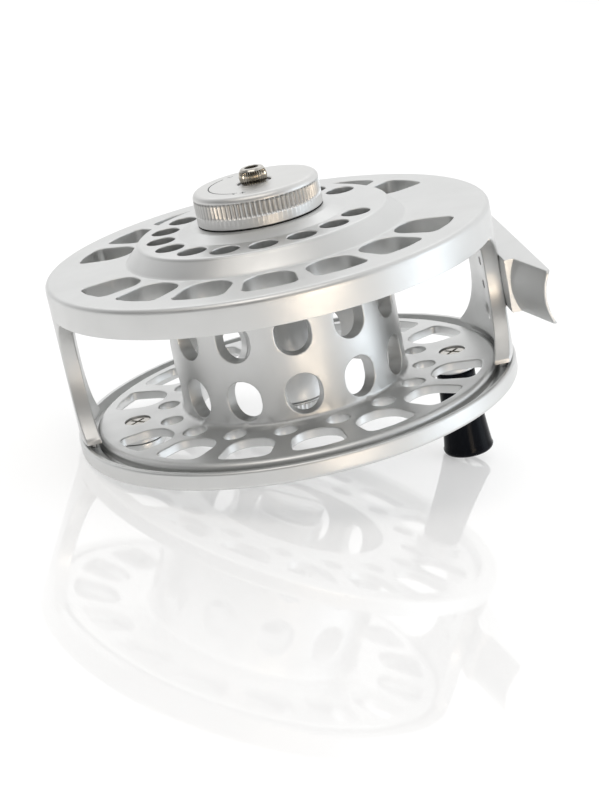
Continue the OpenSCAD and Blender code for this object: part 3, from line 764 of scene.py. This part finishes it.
def make_rear_flange(bm, cut, petals, bevel):
    top = CHANNEL + FLANGE_T
    rings = fillet_rings(cut, (24.45, 24.55, 24.75, 25.0, 25.4, 25.9, 26.4, 26.8))
    fill(bm, flat, circle(FLANGE_R - 0.5), [circle(ARBOR_R)] + cut, rear_face, rings)
    fill(bm, flat, circle(FLANGE_R - 0.5), [circle(ARBOR_IN + 0.5)] + cut, top)
    for p in petals:
        wall(bm, flat, p, rear_face, top, bevel)
    revolve(bm, [(FLANGE_R - 0.5, CHANNEL), (FLANGE_R - 0.1, CHANNEL + 0.4), (FLANGE_R - 0.1, top - 0.4),
                 (FLANGE_R - 0.5, top)])


def make_hub(bm):
    """The bearing tube in the middle and the dished web that joins it to the drum."""
    holes = []
    for k in range(6):
        a = math.radians(30 + 60 * k)
        holes.append(circle(WEB_HOLE_R, 36, WEB_HOLE_PCR * math.cos(a), WEB_HOLE_PCR * math.sin(a)))
    cut = [grown(h, 0.2) for h in holes]
    fill(bm, flat, circle(WEB_TOP_R), [circle(HUB_UPPER_R)] + cut, WEB_TOP)
    fill(bm, flat, circle(WEB_LOW_R), [circle(HUB_R)] + cut, WEB_LOW)
    for h in holes:
        wall(bm, flat, h, WEB_LOW, WEB_TOP, 0.2)
    revolve(bm, [(WEB_TOP_R, WEB_TOP), (ARBOR_IN, WEB_TOP + 3)])
    revolve(bm, [(WEB_LOW_R, WEB_LOW), (ARBOR_IN, WEB_TOP + 0.5)])
    tube = [(HUB_R, WEB_LOW), (HUB_R, -14.8), (7.5, HUB_LOW), (6.8, HUB_LOW), (BEARING_SEAT_R, -14.8)]
    tube += [(BEARING_SEAT_R, FRONT_SEAT_Z), (HUB_BORE, FRONT_SEAT_Z)]
    tube += [(HUB_BORE, REAR_SEAT_Z), (BEARING_SEAT_R, REAR_SEAT_Z), (BEARING_SEAT_R, HUB_HIGH)]
    tube += [(8.0, HUB_HIGH), (HUB_UPPER_R, 12.1), (HUB_UPPER_R, WEB_TOP)]
    revolve(bm, tube)


# ---------------------------------------------------------------- knobs, screw, handle and foot
def fluted(bm, count, radius, depth, low, high, run, sharpness=1.4, barrel=0.0):
    """A ring of flutes that run out at both ends, on a straight or barrel-shaped side."""
    rings = []
    total = count * FLUTE_STEPS
    for k in range(13):
        u = k / 12
        z = low + (high - low) * u
        fade = min(1.0, (z - low) / run[0], (high - z) / run[1])
        fade = math.sin(math.pi / 2 * max(0.0, fade))
        ring = []
        for i in range(total):
            a = 2 * math.pi * i / total
            groove = abs(math.cos(a * count / 2)) ** sharpness
            r = radius - depth * fade * groove - barrel * (2 * u - 1) ** 2
            ring.append(bm.verts.new((r * math.cos(a) * MM, r * math.sin(a) * MM, z * MM)))
        rings.append(ring)
    stitch(bm, rings)
    return total


def two_toned(bm, count, node, body, slot, plain, side):
    """A turned piece whose first faces, the fluted side, wear a material of their own, with painted shade
    in the flutes.
    """
    for face in list(bm.faces)[:count]:
        face.material_index = 1
    made = finish_piece(mesh_object(node + "_fine", bm), body, slot, plain, node)
    made.data.materials.append(side)
    return made


def make_drag_knob():
    bm = bmesh.new()
    count = fluted(bm, KNOB_RIBS, KNOB_R, 0.55, KNOB_LOW + 2.1, KNOB_TOP - KNOB_EDGE, (0.5, 0.35))
    side = len(bm.faces)
    revolve(bm, [(KNOB_R - 0.2, KNOB_LOW), (KNOB_R, KNOB_LOW + 0.2), (KNOB_R, KNOB_LOW + 2.1)], count)
    lip = KNOB_HOLLOW_R + 0.2
    revolve(bm, [(KNOB_HOLLOW_R, KNOB_LOW + 0.2), (lip, KNOB_LOW)], count)
    centres = [turned([(DETENT_PCR, 0)], k * 360 / DETENTS)[0] for k in range(DETENTS)]
    hollows = [circle(DETENT_HOLLOW, 20, *centre) for centre in centres]
    fill(bm, flat, circle(KNOB_R - 0.2, count), [circle(lip, count)] + hollows, KNOB_LOW)
    for centre in centres:
        dimple(bm, flat, centre, DETENT_HOLLOW, 0.5, KNOB_LOW, 20)
    top = arc(KNOB_R - KNOB_EDGE, KNOB_TOP - KNOB_EDGE, KNOB_EDGE, 0, 90, 9)
    top += [(3.8, KNOB_TOP), (3.6, KNOB_TOP - 0.2), (3.6, KNOB_TOP - 0.9), (KNOB_BORE, KNOB_TOP - 0.9)]
    top += [(KNOB_BORE, KNOB_LOW), (KNOB_HUB_R, KNOB_LOW), (KNOB_HUB_R, KNOB_LOW + KNOB_HOLLOW_T)]
    top += [(KNOB_HOLLOW_R, KNOB_LOW + KNOB_HOLLOW_T), (KNOB_HOLLOW_R, KNOB_LOW + 0.2)]
    revolve(bm, top, count)
    return two_toned(bm, side, "drag_knob", "knob", "anodised_silver", SILVER_FINE, FLUTED_SILVER_SHADED)


def make_marks():
    """A generic curved arrow with a plus and a minus, laid fine and dark on the knob's face."""
    bm = bmesh.new()
    z = KNOB_TOP + 0.006

    def stroke(points, width):
        left = []
        right = []
        for i, p in enumerate(points):
            a = Vector(points[max(0, i - 1)])
            b = Vector(points[min(len(points) - 1, i + 1)])
            n = Vector((-(b - a).y, (b - a).x)).normalized() * width / 2
            left.append(bm.verts.new(((p[0] + n.x) * MM, (p[1] + n.y) * MM, z * MM)))
            right.append(bm.verts.new(((p[0] - n.x) * MM, (p[1] - n.y) * MM, z * MM)))
        stitch(bm, [left, right], closed=False)

    track = [turned([(MARK_R, 0)], a)[0] for a in range(MARK_FROM, MARK_TO + 5, 4)]
    stroke(track, MARK_LINE)
    tip = Vector(track[-1])
    for turn in (60, 120):
        a = math.radians(MARK_TO + turn)
        stroke([tip, tip + 1.1 * Vector((math.cos(a), math.sin(a)))], MARK_LINE)
    for angle, crossed in ((116, False), (250, True)):
        c = Vector(turned([(MARK_R, 0)], angle)[0])
        stroke([c - Vector((SIGN_HALF, 0)), c + Vector((SIGN_HALF, 0))], MARK_LINE)
        if crossed:
            stroke([c - Vector((0, SIGN_HALF)), c + Vector((0, SIGN_HALF))], MARK_LINE)
    made = mesh_object("knob_marks", bm)
    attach(made, "knob")
    made.data.materials.append(INK)


def make_knob_screw():
    bm = bmesh.new()
    low = KNOB_TOP - 0.5
    count = fluted(bm, 32, 2.95, 0.3, low + 0.3, low + 2.95, (0.15, 0.15), 1.0, 0.3)
    side = len(bm.faces)
    head = [(2.65, low + 2.95), (2.55, low + 3.15), (2.4, low + 3.35)]
    head += [(2.22, low + 3.47), (2.05, low + 3.5)]
    head += [(1.6, low + 3.5), (1.5, low + 3.4), (1.5, low + 1.8), (0.0, low + 1.6)]
    revolve(bm, head, count)
    revolve(bm, [(2.65, low + 0.3), (2.4, low), (1.28, low), (1.28, low - 3.4), (0.0, low - 3.4)], count)
    return two_toned(bm, side, "knob_screw", "frame", "nickel", NICKEL, FLUTED_NICKEL_SHADED)


def make_handle():
    bm = bmesh.new()
    base = RING_LOW
    profile = [(3.7, HANDLE_TIP + 1.8), (3.7, HANDLE_TIP + 0.25)]
    profile += arc(3.95, HANDLE_TIP + 0.25, 0.25, 180, 270, 3)
    profile += arc(HANDLE_R - 1.2, HANDLE_TIP + 1.2, 1.2, -90, 0, 7)
    for k in range(1, 33):
        z = HANDLE_TIP + 1.2 + k * (base - 1.1 - HANDLE_TIP - 1.2) / 32
        u = (z - HANDLE_TIP) / (base - HANDLE_TIP)
        profile.append((HANDLE_R - 1.3 * math.sin(math.radians(90 * min(1.0, u * 1.1))), z))
    profile += [(4.1, base - 0.8), (3.9, base - 0.5), (3.0, base - 0.5)]
    profile += [(3.0, HANDLE_TIP + 1.8), (3.7, HANDLE_TIP + 1.8)]
    revolve(bm, profile, 96, HANDLE_X)
    return finish_piece(mesh_object("handle_fine", bm), "handle", "black_acetal", ACETAL, "handle_knob")


def saddle(u, v):
    return SADDLE_X + SADDLE_R - math.sqrt(SADDLE_R ** 2 - v ** 2)


def underside(u, v):
    """The block lies on the frame, and each wing thins towards its tip."""
    if abs(u) < FOOT_BLOCK:
        return max(FOOT_BASE_X, math.sqrt(FRAME_R ** 2 - u ** 2) - 0.1)
    outer = SADDLE_R + FOOT_END_T
    return SADDLE_X + SADDLE_R - math.sqrt(outer ** 2 - v ** 2) - (FOOT_HALF - abs(u)) * FOOT_SLOPE


def make_foot():
    bm = bmesh.new()

    def place(u, v, w):
        return (w, u, v + FOOT_Z)

    half = FOOT_W / 2
    step = 0.015
    stops = [0.8 * i for i in range(-35, 36) if abs(abs(0.8 * i) - FOOT_BLOCK) > 0.3]
    stops += [s * (FOOT_BLOCK + d) for s in (-1, 1) for d in (-step, step)]
    rows = [0.8 * k for k in range(-6, 7)]
    outline = []
    for turn in (1, -1):
        steps = [s for s in sorted(stops) if abs(s) < FOOT_HALF - 1.2]
        outline += [(turn * FOOT_HALF, -turn * half), (turn * FOOT_HALF, turn * half)]
        outline += [(u, turn * half) for u in (reversed(steps) if turn > 0 else steps)]
    radii = [0.9 if abs(abs(x) - FOOT_HALF) < 1e-6 else 0.0 for x, _ in outline]
    shape = []
    for (x, y), r, i in zip(outline, radii, range(len(outline))):
        shape += rounded(outline, radii)[8 * i:8 * i + 8] if r > 0 else [(x, y)]
    heads = [circle(FOOT_HEAD_R, 40, 0, gap) for gap in (FOOT_SCREW_GAP, -FOOT_SCREW_GAP)]
    grid = [(u, v) for u in stops for v in rows]
    slab(bm, place, densified(shape, 0.9), underside, saddle, 0.2, grid, (), [grown(h, 0.1) for h in heads])
    for loop in heads:
        wall(bm, place, loop, SADDLE_X - 1.5, saddle, 0.1, ends=(False, True))
        fill(bm, place, loop, [], SADDLE_X - 1.5)
    return finish_piece(mesh_object("reel_foot_fine", bm), "frame", "anodised_silver", SILVER, "reel_foot")


# ---------------------------------------------------------------- floor, lights and camera
TILT = math.radians(14.2)
FLOOR_UP = Vector((math.sin(TILT), 0, math.cos(TILT)))
FLOOR_POINT = Vector((-46.8, 0, RING_LOW - 0.05)) * MM
CAMERA_PLACE = Vector((-23.4, -387.2, 112.9)) * MM
CAMERA_LENS = 85.3


def make_floor():
    bm = bmesh.new()
    bmesh.ops.create_circle(bm, cap_ends=True, segments=128, radius=1.2)
    mesh = bpy.data.meshes.new("floor")
    bm.to_mesh(mesh)
    bm.free()
    floor = bpy.data.objects.new("floor", mesh)
    bpy.context.scene.collection.objects.link(floor)
    turn = Vector((0, 0, 1)).rotation_difference(FLOOR_UP).to_matrix().to_4x4()
    floor.matrix_world = Matrix.Translation(FLOOR_POINT) @ turn
    material, nodes, links, shader, place = new_material("pale_floor", (0.70, 0.70, 0.70), 0.0, 0.05)
    cloud = noise(nodes, links, place, 9.0, 2.0)
    links.new(ranged(nodes, links, cloud, 0.03, 0.05), shader.inputs["Roughness"])
    shader.inputs["IOR"].default_value = 2.0
    shader.inputs["Emission Color"].default_value = (1.0, 1.0, 1.0, 1)
    shader.inputs["Emission Strength"].default_value = 0.37
    floor.data.materials.append(material)


def area_light(name, position, target, size, power, colour):
    data = bpy.data.lights.new(name, "AREA")
    data.shape = "RECTANGLE"
    data.size = size[0]
    data.size_y = size[1]
    data.energy = power
    data.color = colour
    light = bpy.data.objects.new(name, data)
    light.location = position
    light.rotation_euler = (Vector(target) - Vector(position)).to_track_quat("-Z", "Y").to_euler()
    bpy.context.scene.collection.objects.link(light)


def make_world():
    """White behind the reel and on its right, greyer on the side of the camera and on the left."""
    world = bpy.data.worlds.new("studio")
    world.use_nodes = True
    nodes = world.node_tree.nodes
    links = world.node_tree.links
    background = nodes["Background"]
    background.inputs["Color"].default_value = (1.0, 1.0, 1.0, 1)
    side = nodes.new("ShaderNodeVectorMath")
    side.operation = "DOT_PRODUCT"
    side.inputs[1].default_value = Vector((-0.62, -0.72, 0.30)).normalized()
    links.new(nodes.new("ShaderNodeTexCoord").outputs["Generated"], side.inputs[0])
    strength = ranged(nodes, links, side.outputs["Value"], 1.0, 0.24, -0.30, 0.75)
    links.new(strength, background.inputs["Strength"])
    bpy.context.scene.world = world


def make_lights():
    centre = (0, 0, 0)
    area_light("key_top", (-0.10, -0.36, 0.72), centre, (0.7, 0.4), 1.5, (1.0, 0.95, 0.89))
    area_light("front_warm", (0.16, -0.56, -0.01), (0.03, 0.0, 0.0), (0.18, 0.08), 0.35, (1.0, 0.82, 0.62))
    area_light("right_cool", (0.75, -0.20, 0.02), centre, (0.4, 0.5), 0.8, (0.78, 0.90, 1.0))
    area_light("floor_fill", (0.0, 0.55, 0.60), (0, 0.1, 0), (1.0, 0.3), 0.5, (1.0, 1.0, 1.0))
    make_world()


def make_camera():
    """Looks from the front and slightly above, leaning with the floor."""
    data = bpy.data.cameras.new("camera")
    data.lens = CAMERA_LENS
    data.sensor_width = 36.0
    data.clip_start = 0.01
    camera = bpy.data.objects.new("camera", data)
    bpy.context.scene.collection.objects.link(camera)
    right = Vector((0.9743, -0.1231, -0.189)).normalized()
    up = Vector((0.2179, 0.2987, 0.929))
    up = (up - right * up.dot(right)).normalized()
    back = right.cross(up)
    turn = Matrix((right, up, back)).transposed().to_4x4()
    camera.matrix_world = Matrix.Translation(CAMERA_PLACE) @ turn
    bpy.context.scene.camera = camera


dress_cad_nodes()
make_frame()
make_spool()
make_drag_knob()
make_marks()
make_knob_screw()
make_handle()
make_foot()
make_floor()
make_lights()
make_camera()
bpy.context.scene.view_settings.view_transform = "Standard"
